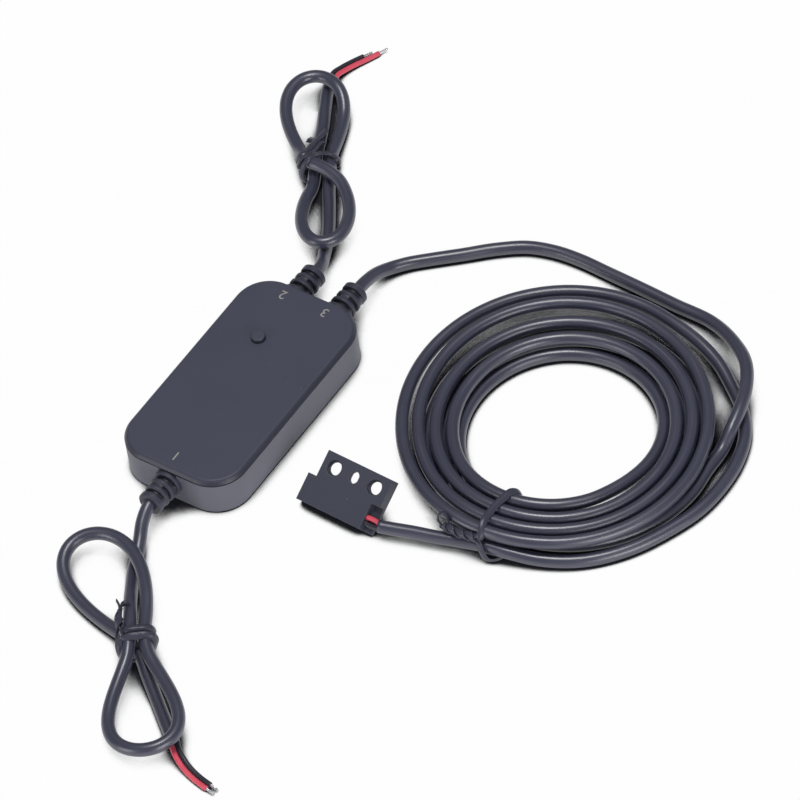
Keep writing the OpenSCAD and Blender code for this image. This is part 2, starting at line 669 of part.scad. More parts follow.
// Sensor, drawn flat with its lower left rear corner at the origin
module sensor_frame() {
    translate(sensor_at) rotate([0, 0, sensor_turn]) rotate([sensor_lean, 0, 0]) children();
}
module sensor_housing() {
    color([0.2, 0.2, 0.24]) sensor_frame() difference() {
        union() {
            cube([sensor_width, body_height, sensor_thick]);
            translate([flange_left, 0, 0]) cube([flange_width, sensor_height, sensor_thick]);
        }
        for (i = [0, 1])
            translate([flange_left + hole_in + i * screw_spacing, sensor_height - hole_down, -1]) {
                cylinder(r = screw_hole_r, h = sensor_thick + 2);
                cylinder(r = screw_hole_r + 1.2, h = back_recess + 1);
                translate([0, 0, sensor_thick - head_depth + 1])
                    cylinder(r = screw_head_r, h = head_depth + 1);
            }
        translate([flange_left + hole_in + screw_spacing / 2, sensor_height - hole_down, -1]) {
            translate([0, -0.35, 0]) cylinder(r = 1.5, h = sensor_thick + 2);
            translate([0, 0.35, 0]) cylinder(r = 1.5, h = sensor_thick + 2);
            translate([-2.8, -3, 0]) cube([5.6, 6, sensor_thick - 1]);
        }
        translate([sensor_width - recess_width, -1, recess_floor])
            cube([recess_width + 1, recess_height + 1, sensor_thick]);
        translate([pocket[0][0], pocket[0][1], -1]) cube([pocket[1][0], pocket[1][1], pocket[1][2] + 1]);
    }
}
module sensor_back() {
    color([0.1, 0.1, 0.1]) sensor_frame() {
        translate([pocket[0][0] + 0.1, pocket[0][1] + 0.1, 0])
            cube([pocket[1][0] - 0.2, pocket[1][1] - 0.2, 0.8]);
        for (x = [6, 15]) translate([x, pocket[0][1] + 1.2, 0.5]) cube([2, 2.6, 0.35]);
    }
}
module reed_switch() {
    color([0.6, 0.75, 0.7]) sensor_frame() translate([4, 4.5, 1.8]) rotate([0, 90, 0]) {
        cylinder(r = 0.95, h = 14);
        translate([0, 0, 14]) cylinder(r = 0.3, h = 2);
    }
}
module sensor_wire(up) {
    sensor_frame() translate([sensor_width - recess_width, 3.28 + up, sensor_thick - 1.6]) rotate([0, 90, 0])
        cylinder(r = core_d / 2, h = recess_width + 0.9);
}
module sensor_red_wire() {
    color([0.85, 0.2, 0.3]) sensor_wire(0.85);
}
module sensor_black_wire() {
    color([0.08, 0.08, 0.08]) sensor_wire(-0.85);
}

base_tray();
top_cover();
button_cap();
tact_plunger();
tact_switch();
main_board();
board_screws();
wire_terminals();
signal_relay();
buck_inductor();
capacitors();
rectifier_diode();
regulator();
radio_module();
shield_can();
inner_red_wires();
inner_black_wires();
dc_strain_relief();
push_button_strain_relief();
sensor_strain_relief();
dc_lead();
dc_hank();
dc_tie();
dc_red_wire();
dc_black_wire();
dc_bare_ends();
push_button_lead();
push_button_hank();
push_button_tie();
push_button_red_wire();
push_button_black_wire();
push_button_bare_ends();
sensor_lead();
sensor_coil();
coil_tie();
sensor_tail();
sensor_housing();
sensor_back();
reed_switch();
sensor_red_wire();
sensor_black_wire();
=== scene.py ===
import json
import math
import bmesh
import bpy
from mathutils import Matrix, Vector


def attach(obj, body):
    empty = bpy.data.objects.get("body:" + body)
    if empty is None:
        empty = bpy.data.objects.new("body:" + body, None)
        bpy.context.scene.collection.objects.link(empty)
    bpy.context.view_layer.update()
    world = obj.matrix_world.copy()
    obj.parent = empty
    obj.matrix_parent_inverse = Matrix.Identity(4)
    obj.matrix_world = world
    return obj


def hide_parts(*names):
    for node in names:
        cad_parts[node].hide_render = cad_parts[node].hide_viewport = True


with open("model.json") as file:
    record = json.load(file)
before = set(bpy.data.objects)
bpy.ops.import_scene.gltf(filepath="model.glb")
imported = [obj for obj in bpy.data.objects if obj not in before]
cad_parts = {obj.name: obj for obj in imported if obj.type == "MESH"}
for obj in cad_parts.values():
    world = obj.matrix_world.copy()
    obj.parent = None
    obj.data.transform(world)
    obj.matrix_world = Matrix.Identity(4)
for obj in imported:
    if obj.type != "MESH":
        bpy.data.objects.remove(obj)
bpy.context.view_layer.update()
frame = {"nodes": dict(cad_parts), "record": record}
nodes = frame["nodes"]
mm = 0.001
mainBody = "controller"
upward = Vector((0, 0, 1))
print("frame loaded:", len(nodes), "nodes")


# Shader helpers: a wire is one socket, and sums of wires add Math nodes
class Wire:
    def __init__(self, finish, socket):
        self.finish = finish
        self.socket = socket

    def sum(self, operation, first, second=0.0):
        made = self.finish.node("Math", {"operation": operation}, {0: first, 1: second})
        return self.finish.take(made, 0)

    def __add__(self, other):
        return self.sum("ADD", self, other)

    def __radd__(self, other):
        return self.sum("ADD", other, self)

    def __sub__(self, other):
        return self.sum("SUBTRACT", self, other)

    def __rsub__(self, other):
        return self.sum("SUBTRACT", other, self)

    def __mul__(self, other):
        return self.sum("MULTIPLY", self, other)

    def __rmul__(self, other):
        return self.sum("MULTIPLY", other, self)

    def __gt__(self, other):
        return self.sum("GREATER_THAN", self, other)

    def __lt__(self, other):
        return self.sum("LESS_THAN", self, other)

    def sine(self):
        return self.sum("SINE", self)

    def ramp(self, low, high):  # 0 below low, 1 above high, smooth between
        inputs = {"Value": self, "From Min": low, "From Max": high}
        made = self.finish.node("MapRange", {"interpolation_type": "SMOOTHSTEP"}, inputs)
        return self.finish.take(made, "Result")


class Finish:
    socketNames = {
        "baseColor": "Base Color",
        "roughness": "Roughness",
        "metallic": "Metallic",
        "normal": "Normal",
        "specular": "Specular IOR Level",
        "transmission": "Transmission Weight",
    }

    def __init__(self, name):
        self.material = bpy.data.materials.new(name)
        self.material.use_nodes = True
        self.tree = self.material.node_tree
        self.tree.nodes.clear()

    def node(self, kind, settings=None, inputs=None):
        made = self.tree.nodes.new("ShaderNode" + kind)
        for key, value in (settings or {}).items():
            setattr(made, key, value)
        for key, value in (inputs or {}).items():
            if isinstance(value, Wire):
                self.tree.links.new(value.socket, made.inputs[key])
            else:
                made.inputs[key].default_value = value
        return made

    def take(self, made, key):
        return Wire(self, made.outputs[key])

    def place(self):
        return self.take(self.node("TexCoord"), "Object")

    def attribute(self, name):
        return self.take(self.node("Attribute", {"attribute_name": name}), "Fac")

    def noise(self, scale, detail=2.0, vector=None):
        inputs = {"Vector": vector or self.place(), "Scale": scale, "Detail": detail}
        return self.take(self.node("TexNoise", None, inputs), "Fac")

    def cells(self, scale):
        inputs = {"Vector": self.place(), "Scale": scale}
        return self.take(self.node("TexVoronoi", None, inputs), "Distance")

    def joined(self, x, y, z):
        return self.take(self.node("CombineXYZ", None, {"X": x, "Y": y, "Z": z}), 0)

    def mix(self, factor, first, second):
        inputs = {0: factor, 6: first, 7: second}
        return self.take(self.node("Mix", {"data_type": "RGBA"}, inputs), 2)

    def tones(self, factor, shade, shares):  # from a darker to a lighter share of one shade
        return self.mix(factor, shaded(shade, shares[0]), shaded(shade, shares[1]))

    def bump(self, height, strength, distance, normal=None):
        inputs = {"Height": height, "Strength": strength, "Distance": distance}
        if normal:
            inputs["Normal"] = normal
        return self.take(self.node("Bump", None, inputs), "Normal")

    def surface(self, **inputs):
        named = {self.socketNames[key]: value for key, value in inputs.items()}
        self.finishWith(self.take(self.node("BsdfPrincipled", None, named), 0))
        return self.material

    def finishWith(self, shader):
        self.node("OutputMaterial", None, {"Surface": shader})


def colour(red, green, blue):  # 0 to 255 as seen on a screen, to light values
    def light(value):
        value = value / 255
        return value / 12.92 if value <= 0.04045 else ((value + 0.055) / 1.055) ** 2.4
    return (light(red), light(green), light(blue), 1.0)


def shaded(shade, share):
    return (shade[0] * share, shade[1] * share, shade[2] * share, 1.0)


# Camera, at the angle of the photo
cameraSet = {
    "target": Vector((0.0386, 0.0249, 0.0)),
    "azimuth": 40.0,
    "elevation": 48.8,
    "roll": 8.8,
    "distance": 1.923,
    "lens": 292.5,
    "nearest": 0.05,
    "farthest": 50.0,
}


def makeCamera(setting):
    turn = math.radians(setting["azimuth"])
    tilt = math.radians(setting["elevation"])
    roll = math.radians(setting["roll"])
    across = Vector((math.cos(turn), math.sin(turn), 0.0))
    ahead = Vector((-math.sin(turn) * math.cos(tilt), math.cos(turn) * math.cos(tilt), -math.sin(tilt)))
    over = across.cross(ahead)
    right = across * math.cos(roll) - over * math.sin(roll)
    up = across * math.sin(roll) + over * math.cos(roll)
    data = bpy.data.cameras.new("photoCamera")
    data.lens = setting["lens"]
    data.clip_start = setting["nearest"]
    data.clip_end = setting["farthest"]
    camera = bpy.data.objects.new("photoCamera", data)
    bpy.context.scene.collection.objects.link(camera)
    place = setting["target"] - ahead * setting["distance"]
    camera.matrix_world = Matrix.Translation(place) @ Matrix((right, up, -ahead)).transposed().to_4x4()
    bpy.context.scene.camera = camera


makeCamera(cameraSet)
print("camera placed")


# Routes of the cables, in millimetres as in the part's source, turned to metres at the end
cableSet = {
    "diameter": 4.0,
    "sides": 24,
    "step": 0.8,
    "layerLow": 2.0,
    "layerHigh": 6.5,
    "raisedLean": (0.56, -0.67),
    "loopSteps": 24,
}
powerStem = [
    (0, -35.2, 7.2), (0, -42, 7.2), (0, -49.4, 7.2), (0.9, -54, 5.6), (2.8, -58.6, 3.45), (4.8, -63, 2.15),
    (7, -68, 2), (10.6, -74, 3.05), (15, -80.6, 5.2), (19.4, -86.6, 7.15), (23.2, -92.4, 7.8),
]
powerLowLoop = {
    "at": (23.3, -89),
    "heading": -51.5,
    "length": 39.6,
    "width": 18.6,
    "belly": 3,
    "side": -1,
    "offsets": (-2.8, 2.2),
    "heights": [(0, 7.8), (0.3, 4.3), (0.57, 6.7), (0.8, 6.9), (1, 7.8)],
    "steps": (3, 21),
}
powerHighLoop = {
    "at": (22.6, -88.8),
    "heading": 146.4,
    "length": 43.4,
    "width": 20.2,
    "belly": 2,
    "side": -1,
    "offsets": (-2.5, 1.4),
    "heights": [(0, 7.8), (0.2, 7.05), (0.36, 6.9), (0.8, 2.15), (1, 3.45)],
    "steps": (2, 22),
}
powerEnd = [(27.6, -94, 3.25), (33, -98.4, 2.25), (39.5, -103.6, 2), (46, -108.8, 2), (54, -115.2, 2)]
buttonStem = [
    (-7.5, 35.2, 7.2), (-7.5, 42, 7.2), (-7.5, 50.2, 7.2), (-8.6, 54.3, 5.65), (-10.9, 58.4, 3.35),
    (-13.4, 63.2, 2.1), (-16.4, 69.2, 2), (-21.2, 76.8, 2), (-26, 84, 2.5), (-29.8, 90.4, 3.3),
]
buttonHighLoop = {
    "at": (-36.6, 92.4),
    "heading": 126.5,
    "length": 34.8,
    "width": 14.6,
    "belly": 2,
    "side": -1,
    "offsets": (-4.8, 3.2),
    "heights": [(0, 3.3), (0.2, 2.7), (0.4, 6.7), (0.56, 6.7), (0.8, 4.75), (1, 5.4)],
    "steps": (2, 21),
}
buttonCross = [(-37, 90.6, 7.55), (-32.4, 90.4, 7.7)]
buttonLowLoop = {
    "at": (-31.5, 89.1),
    "heading": -60,
    "length": 29,
    "width": 14.2,
    "belly": 1.6,
    "side": 1,
    "offsets": (2.2, 1.4),
    "heights": [(0, 7.55), (0.3, 6.7), (0.52, 6.8), (0.9, 2.6), (1, 2.6)],
    "steps": (3, 20),
}
buttonEnd = [
    (-34.2, 88.8, 2.7), (-37, 93.9, 3.3), (-39.2, 98.6, 2.8), (-42.2, 104.6, 2.05), (-46.2, 112, 2),
    (-49.8, 119.2, 2), (-50.8, 123.2, 2),
]
sensorStem = [
    (7.5, 35.2, 7.2), (7.5, 42, 7.2), (7.5, 50.2, 7.2), (7.2, 55.2, 6.1), (7.2, 60.2, 4.45),
    (8.6, 65.6, 2.5), (11.8, 70, 2), (17, 74.6, 2), (24.5, 80.8, 2), (33, 88, 2), (40.5, 92.8, 2),
    (49, 95.2, 2), (58, 95.8, 2), (66.5, 95.4, 2), (79.5, 94.8, 2), (92, 94, 2.05), (105.5, 92.8, 2.8),
    (116, 88, 4.75), (124.8, 81, 6.5), (130, 72.4, 6.8), (132.4, 65, 6.7), (133.4, 58.8, 5.4),
    (133.8, 52, 2.4), (133.8, 44.6, 2),
]
sensorTail = [
    (107.4, 82.8, 4.75), (116, 79.4, 3.55), (123.6, 74.4, 2.4), (131, 68.2, 2), (136.8, 60.2, 2),
    (140, 50.5, 2), (140.8, 40.5, 2), (139.8, 30.4, 2), (135.8, 19.1, 2), (129.4, 7.4, 2),
    (120.2, -2.2, 2), (108.9, -8.4, 2.5), (99.6, -11.3, 3.6), (91, -12.9, 3.75), (84.5, -14.7, 3.7),
    (78, -16.5, 3.6), (71.6, -18.2, 3.7), (66.2, -19.9, 3.8), (61.93, -21.19, 3.95),
]
coilSet = {
    "centre": (89.8, 35),
    "innerRadius": 30.3,
    "pitch": 4.5,
    "spread": (0.9, 1.7),  # added to the pitch on the wide side, in the lower and the upper layer
    "wideSide": (130, 2.5),  # an angle, and how sharply its effect fades round the coil
    "oval": 1.3,
    "ovalSide": (205, 3),
    "hump": 1.7,
    "humpSide": (-90, 8),
    "lead": 0.14,
    "reverse": 3.35,
    "climb": (2.68, 3.2),
    "bulge": (2.1, 2.6, 0.68),
    "drop": (1.2, 6.34, 0.4),
    "stray": (0, 0, 0, 0, 0, 0.3, 0.16, 0),
    "end": 6.778,
    "stepsPerTurn": 24,
}


def ease(first, last, share):
    return first + (last - first) * (1 - math.cos(math.pi * share)) / 2


def heightAt(share, table):
    for (a, low), (b, high) in zip(table, table[1:]):
        if share <= b:
            return ease(low, high, (share - a) / (b - a))
    return table[-1][1]


def lifted(point):  # a raised point leans to the camera's side, and so stays where the photo shows it
    leanX, leanY = cableSet["raisedLean"]
    rise = point[2] - cableSet["layerLow"]
    return (point[0] + leanX * rise, point[1] + leanY * rise, point[2])


def loop(setting):  # a teardrop that leaves its waist and comes back to it
    heading = math.radians(setting["heading"])
    belly = setting["belly"]
    peak = belly ** (belly / 2) / (belly + 1) ** ((belly + 1) / 2)
    start, finish = setting["offsets"]
    first, last = setting["steps"]
    points = []
    for i in range(first, last + 1):
        share = i / cableSet["loopSteps"]
        turn = math.pi * share
        out = setting["length"] * math.sin(turn) ** 2
        across = setting["side"] * setting["width"] / 2 * math.sin(turn) ** belly * math.cos(turn) / peak
        across += start + (finish - start) * share
        x = setting["at"][0] + out * math.cos(heading) - across * math.sin(heading)
        y = setting["at"][1] + out * math.sin(heading) + across * math.cos(heading)
        points.append(lifted((x, y, heightAt(share, setting["heights"]))))
    return points


def limit(share):
    return min(1, max(0, share))


def bumpAt(share):
    return math.sin(math.pi * share) ** 2 if 0 < share < 1 else 0


def facing(angle, at, sharp):
    return ((1 + math.cos(math.radians(angle - at))) / 2) ** sharp


def coilPoint(setting, t):  # t counts turns from the start of the coil
    angle = -360 * t
    turn = math.floor(t + setting["lead"])
    share = t + setting["lead"] - turn
    low, high = setting["climb"]
    climbed = limit((t - low) / (high - low))
    place = abs(turn + ease(0, 1, limit(2 * share)) - setting["reverse"])
    place += setting["stray"][turn] * bumpAt(2 * share - 1)
    pitch = setting["pitch"] + ease(*setting["spread"], climbed) * facing(angle, *setting["wideSide"])
    bulge, bulgeFrom, bulgeTurns = setting["bulge"]
    radius = setting["innerRadius"] - setting["oval"] * facing(angle, *setting["ovalSide"])
    radius += place * pitch - bulge * bumpAt((t - bulgeFrom) / bulgeTurns)
    drop, dropFrom, dropTurns = setting["drop"]
    height = ease(cableSet["layerLow"], cableSet["layerHigh"], climbed)
    height += setting["hump"] * facing(angle, *setting["humpSide"])
    height -= ease(0, drop, limit((t - dropFrom) / dropTurns))
    x = setting["centre"][0] + radius * math.cos(math.radians(angle))
    y = setting["centre"][1] + radius * math.sin(math.radians(angle))
    return (x, y, height)


def coil(setting):
    steps = math.ceil(setting["end"] * setting["stepsPerTurn"])
    return [coilPoint(setting, setting["end"] * i / steps) for i in range(steps + 1)]


powerRoute = powerStem + loop(powerLowLoop) + loop(powerHighLoop) + powerEnd
buttonRoute = buttonStem + loop(buttonHighLoop)
buttonRoute += [lifted(point) for point in buttonCross]
buttonRoute += loop(buttonLowLoop) + buttonEnd
sensorRoute = sensorStem + coil(coilSet) + sensorTail


# Lines and sweeps
def metres(points):
    return [Vector(point) * mm for point in points]


def smooth(points, step):  # one smooth line through the points, with a point about every step
    gaps = [(b - a).length for a, b in zip(points, points[1:])]
    slopes = []
    for i in range(len(points)):
        before = (points[i] - points[i - 1]) / gaps[i - 1] if i > 0 else None
        after = (points[i + 1] - points[i]) / gaps[i] if i < len(gaps) else None
        if before is None or after is None:
            slopes.append(after or before)
        else:
            slopes.append((before * gaps[i] + after * gaps[i - 1]) / (gaps[i] + gaps[i - 1]))
    line = []
    for i, gap in enumerate(gaps):
        count = max(2, math.ceil(gap / step))
        for k in range(count):
            t = k / count
            a = 2 * t ** 3 - 3 * t ** 2 + 1
            b = t ** 3 - 2 * t ** 2 + t
            c = 3 * t ** 2 - 2 * t ** 3
            d = t ** 3 - t ** 2
            point = points[i] * a + slopes[i] * (b * gap)
            line.append(point + points[i + 1] * c + slopes[i + 1] * (d * gap))
    line.append(points[-1])
    return line


def lengthOf(line):
    return sum((b - a).length for a, b in zip(line, line[1:]))


def directions(line):
    last = len(line) - 1
    return [(line[min(i + 1, last)] - line[max(i - 1, 0)]).normalized() for i in range(len(line))]


def carried(line, start):  # a side direction carried along the line without twisting
    sides = []
    side = Vector(start)
    for ahead in directions(line):
        side = (side - ahead * side.dot(ahead)).normalized()
        sides.append(side)
    return sides


def level(line):  # a side direction that stays level, so the top of a cable is always at the same angle
    return [ahead.cross(upward).normalized() for ahead in directions(line)]


def beside(line, off):
    return [point + side * off for point, side in zip(line, level(line))]


def sweep(mesh, line, sides, section):
    # Sweeps a closed section of (across, up) pairs and records the run along it and the angle round it
    along = mesh.verts.layers.float.get("along") or mesh.verts.layers.float.new("along")
    angle = mesh.verts.layers.float.get("angle") or mesh.verts.layers.float.new("angle")
    rings = []
    run = 0.0
    for i, (point, ahead, side) in enumerate(zip(line, directions(line), sides)):
        over = side.cross(ahead)
        run += (point - line[i - 1]).length if i else 0.0
        ring = []
        for across, up in section:
            place = point + side * across + over * up
            place.z = max(place.z, 0.0)  # nothing sinks into the floor
            vert = mesh.verts.new(place)
            vert[along] = run
            vert[angle] = math.atan2(up, across)
            ring.append(vert)
        rings.append(ring)
    count = len(section)
    for a, b in zip(rings, rings[1:]):
        for k in range(count):
            face = mesh.faces.new((a[k], a[(k + 1) % count], b[(k + 1) % count], b[k]))
            face.smooth = True
    mesh.faces.new(list(reversed(rings[0])))
    mesh.faces.new(rings[-1])


def circle(radius, sides):
    turns = [2 * math.pi * k / sides for k in range(sides)]
    return [(radius * math.cos(turn), radius * math.sin(turn)) for turn in turns]


# Finishes: scales count features for each metre, and tones are shares of the shade
plasticSet = {
    "grain": 5200.0,  # spark-eroded grain
    "grainHeight": 0.00004,
    "grainStrength": 0.35,
    "cloud": 60.0,
    "cloudShares": (0.5, 0.3),  # of the broad and of the fine noise
    "tones": (0.86, 1.12),
    "wear": 900.0,
    "wearRange": (0.35, 0.65),
    "wearShare": 0.12,
    "wearShade": colour(150, 150, 158),
    # painted shade in the seam between the base and the lid
    "seamPaintedShadeShare": 0.85,
    "seamPaintedShadeTone": 0.15,
    "rimPaintedShadeShare": 0.62,  # painted shade: the rounded sides of the lid and the button are painted darker than the grained flats; rimPolish also makes them smoother
    # the button's side wall gets stronger painted shade
    "buttonRimPaintedShadeShare": 0.9,
    "rimPaintedShadeTone": 0.25,
    "rimPolish": 0.14,
    "dustShare": 0.45,
    "dustShade": colour(196, 196, 202),
    "specks": 420.0,
    "speckSize": 0.05,
    "speckPatches": 300.0,
    "speckLimit": 0.6,
    "roughSpread": 0.1,
    "specular": 0.45,
}


def mouldedPlastic(name, shade, roughness, dustShare=0.0, rimPaintedShadeShare=plasticSet["rimPaintedShadeShare"]):
    f = Finish(name)
    fine = f.noise(plasticSet["grain"])
    broad = f.noise(plasticSet["cloud"])
    broadShare, fineShare = plasticSet["cloudShares"]
    tone = f.tones(broad * broadShare + fine * fineShare, shade, plasticSet["tones"])
    edge = f.attribute("edge") * f.noise(plasticSet["wear"]).ramp(*plasticSet["wearRange"])
    tone = f.mix(edge * plasticSet["wearShare"], tone, plasticSet["wearShade"])
    # painted shade: the seam mixes towards a darker copy of the shade
    seam = f.attribute("deep") * plasticSet["seamPaintedShadeShare"]
    tone = f.mix(seam, tone, shaded(shade, plasticSet["seamPaintedShadeTone"]))
    # painted shade: the rounded sides mix towards a darker copy of the shade
    rim = f.attribute("rim")
    tone = f.mix(rim * rimPaintedShadeShare, tone, shaded(shade, plasticSet["rimPaintedShadeTone"]))
    if dustShare:
        patches = f.noise(plasticSet["speckPatches"], 0.0) > plasticSet["speckLimit"]
        specks = (f.cells(plasticSet["specks"]) < plasticSet["speckSize"]) * patches
        tone = f.mix(specks * dustShare, tone, plasticSet["dustShade"])
    normal = f.bump(fine, plasticSet["grainStrength"], plasticSet["grainHeight"])
    spread = plasticSet["roughSpread"]
    rough = roughness - spread / 2 + broad * spread - rim * plasticSet["rimPolish"]
    return f.surface(baseColor=tone, roughness=rough, normal=normal, specular=plasticSet["specular"])


jacketSet = {
    "layPitch": 0.042,  # the twist of the two cores shows as a faint wave
    "layStarts": 2.0,
    "layHeight": 0.00005,
    "layStrength": 0.25,
    "grain": 6000.0,
    "grainHeight": 0.00003,
    "grainStrength": 0.12,
    "cloud": 70.0,
    "tones": (0.84, 1.16),
    "scuffAlong": 60.0,
    "scuffRound": 2.5,
    "scuffSlice": 3.0,
    "scuffRange": (0.5, 0.75),
    "scuffShare": 0.12,
    "scuffShade": colour(150, 150, 160),
    "scuffRough": 0.1,
    "rough": 0.3,
    "roughSpread": 0.08,
    "specular": 1.0,
}


def cableJacket(name, shade):
    f = Finish(name)
    run = f.attribute("along")
    turn = f.attribute("angle")
    fine = f.noise(jacketSet["grain"])
    broad = f.noise(jacketSet["cloud"])
    lay = (run * (2 * math.pi / jacketSet["layPitch"]) + turn * jacketSet["layStarts"]).sine()
    along = run * jacketSet["scuffAlong"]
    skin = f.joined(along, turn * jacketSet["scuffRound"], jacketSet["scuffSlice"])
    scuff = f.noise(1.0, vector=skin).ramp(*jacketSet["scuffRange"])
    tone = f.tones(broad, shade, jacketSet["tones"])
    tone = f.mix(scuff * fine * jacketSet["scuffShare"], tone, jacketSet["scuffShade"])
    wave = f.bump(lay, jacketSet["layStrength"], jacketSet["layHeight"])
    normal = f.bump(fine, jacketSet["grainStrength"], jacketSet["grainHeight"], wave)
    rough = jacketSet["rough"] + broad * jacketSet["roughSpread"] + scuff * jacketSet["scuffRough"]
    return f.surface(baseColor=tone, roughness=rough, normal=normal, specular=jacketSet["specular"])


rubberSet = {
    "grain": 7000.0,
    "grainHeight": 0.00003,
    "grainStrength": 0.3,
    "cloud": 200.0,
    "tones": (0.85, 1.15),
    "wear": 1500.0,
    "wearRange": (0.3, 0.7),
    "wearShare": 0.1,
    "wearShade": colour(130, 130, 138),
    # painted shade deep in the strain reliefs' windows
    "deepPaintedShadeShare": 0.8,
    "deepPaintedShadeTone": 0.2,
    "roughSpread": 0.12,
    "specular": 0.45,
}


def mouldedRubber(name, shade, roughness):
    f = Finish(name)
    fine = f.noise(rubberSet["grain"])
    broad = f.noise(rubberSet["cloud"])
    tone = f.tones(broad, shade, rubberSet["tones"])
    edge = f.attribute("edge") * f.noise(rubberSet["wear"]).ramp(*rubberSet["wearRange"])
    tone = f.mix(edge * rubberSet["wearShare"], tone, rubberSet["wearShade"])
    # painted shade: darker towards the core of the windows
    deep = f.attribute("deep") * rubberSet["deepPaintedShadeShare"]
    tone = f.mix(deep, tone, shaded(shade, rubberSet["deepPaintedShadeTone"]))
    normal = f.bump(fine, rubberSet["grainStrength"], rubberSet["grainHeight"])
    spread = rubberSet["roughSpread"]
    rough = roughness - spread / 2 + fine * spread
    return f.surface(baseColor=tone, roughness=rough, normal=normal, specular=rubberSet["specular"])


insulationSet = {
    "cloud": 500.0,
    "tones": (0.88, 1.1),
    "grain": 6000.0,
    "grainHeight": 0.00002,
    "grainStrength": 0.1,
    "rough": 0.3,
    "roughSpread": 0.12,
}


def insulation(name, shade):
    f = Finish(name)
    broad = f.noise(insulationSet["cloud"])
    fine = f.noise(insulationSet["grain"], 1.0)
    tone = f.tones(broad, shade, insulationSet["tones"])
    normal = f.bump(fine, insulationSet["grainStrength"], insulationSet["grainHeight"])
    rough = insulationSet["rough"] + broad * insulationSet["roughSpread"]
    return f.surface(baseColor=tone, roughness=rough, normal=normal)


metalSet = {
    "grain": 5000.0,
    "grainHeight": 0.00002,
    "grainStrength": 0.1,
    "tones": (0.88, 1.0),
    "roughSpread": 0.1,
}


def metal(name, shade, roughness):
    f = Finish(name)
    fine = f.noise(metalSet["grain"])
    tone = f.tones(fine, shade, metalSet["tones"])
    normal = f.bump(fine, metalSet["grainStrength"], metalSet["grainHeight"])
    rough = roughness + fine * metalSet["roughSpread"]
    return f.surface(baseColor=tone, roughness=rough, metallic=1.0, normal=normal)


glassSet = {"wave": 400.0, "rough": 0.04, "roughSpread": 0.04, "clear": 0.9}


def clearGlass(name, shade):
    f = Finish(name)
    rough = glassSet["rough"] + f.noise(glassSet["wave"], 1.0) * glassSet["roughSpread"]
    return f.surface(baseColor=shade, roughness=rough, transmission=glassSet["clear"])


boardSet = {
    "tracks": 900.0,
    "trackRange": (0.25, 0.35),
    "trackHeight": 0.00003,
    "trackStrength": 0.2,
    "tones": (1.0, 1.5),
    "rough": 0.3,
    "roughSpread": 0.1,
}


def boardMask(name, shade):
    f = Finish(name)
    tracks = f.cells(boardSet["tracks"]).ramp(*boardSet["trackRange"])
    tone = f.tones(tracks, shade, boardSet["tones"])
    normal = f.bump(tracks, boardSet["trackStrength"], boardSet["trackHeight"])
    rough = boardSet["rough"] + tracks * boardSet["roughSpread"]
    return f.surface(baseColor=tone, roughness=rough, normal=normal)


finishes = {
    # painted light: the base shell is written lighter than the lid, as its walls are shown lit more than
    # the lid's top
    "case_plastic": mouldedPlastic("casePlasticLitLighter", colour(106, 106, 119), 0.5),
    "cover_plastic": mouldedPlastic("coverPlastic", colour(69, 71, 88), 0.52, plasticSet["dustShare"]),
    "button_plastic": mouldedPlastic(
        "buttonPlastic", colour(70, 72, 88), 0.48, rimPaintedShadeShare=plasticSet["buttonRimPaintedShadeShare"],
    ),
    "relief_rubber": mouldedRubber("reliefRubber", colour(60, 61, 75), 0.46),
    "cable_jacket": cableJacket("cableJacket", colour(56, 57, 76)),
    "tie_plastic": mouldedRubber("tiePlastic", colour(62, 63, 77), 0.34),
    "red_insulation": insulation("redInsulation", colour(232, 84, 104)),
    "black_insulation": insulation("blackInsulation", colour(46, 46, 56)),
    "tinned_copper": metal("tinnedCopper", colour(222, 222, 226), 0.3),
    "sensor_plastic": mouldedPlastic("sensorPlastic", colour(64, 66, 80), 0.5, plasticSet["dustShare"]),
    "potting": mouldedPlastic("potting", colour(44, 44, 48), 0.4),
    "reed_glass": clearGlass("reedGlass", colour(206, 230, 220)),
    "board": boardMask("board", colour(24, 92, 54)),
    "radio_board": boardMask("radioBoard", colour(22, 52, 92)),
    "screw_steel": metal("screwSteel", colour(196, 196, 200), 0.35),
    "shield_metal": metal("shieldMetal", colour(208, 208, 212), 0.4),
    "capacitor_can": metal("capacitorCan", colour(206, 207, 212), 0.3),
    "black_epoxy": mouldedPlastic("blackEpoxy", colour(46, 46, 50), 0.5),
    "relay_plastic": mouldedPlastic("relayPlastic", colour(216, 216, 208), 0.4),
    "terminal_plastic": mouldedPlastic("terminalPlastic", colour(42, 104, 66), 0.5),
}
slotOf = {entry["node"]: entry["material_slot"] for entry in frame["record"]["subparts"]}
for name, node in nodes.items():
    node.data.materials.clear()
    node.data.materials.append(finishes[slotOf[name]])
print("finishes made:", len(finishes))


def piece(name, mesh, slotName, bodyName=mainBody):
    bmesh.ops.recalc_face_normals(mesh, faces=mesh.faces)
    data = bpy.data.meshes.new(name)
    mesh.to_mesh(data)
    mesh.free()
    data.materials.append(finishes[slotName])
    made = bpy.data.objects.new(name, data)
    bpy.context.scene.collection.objects.link(made)
    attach(made, bodyName)
    return made


# Cables
def cable(name, route):
    line = smooth(metres(route), cableSet["step"] * mm)
    mesh = bmesh.new()
    sweep(mesh, line, level(line), circle(cableSet["diameter"] / 2 * mm, cableSet["sides"]))
    made = piece(name, mesh, "cable_jacket")
    print(name, "length", round(lengthOf(line), 4))
    return made, line


powerCable, powerLine = cable("powerCable", powerRoute)
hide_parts("dc_lead", "dc_hank")
buttonCable, buttonLine = cable("buttonCable", buttonRoute)
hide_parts("push_button_lead", "push_button_hank")
sensorCable, sensorLine = cable("sensorCable", sensorRoute)
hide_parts("sensor_lead", "sensor_coil", "sensor_tail")


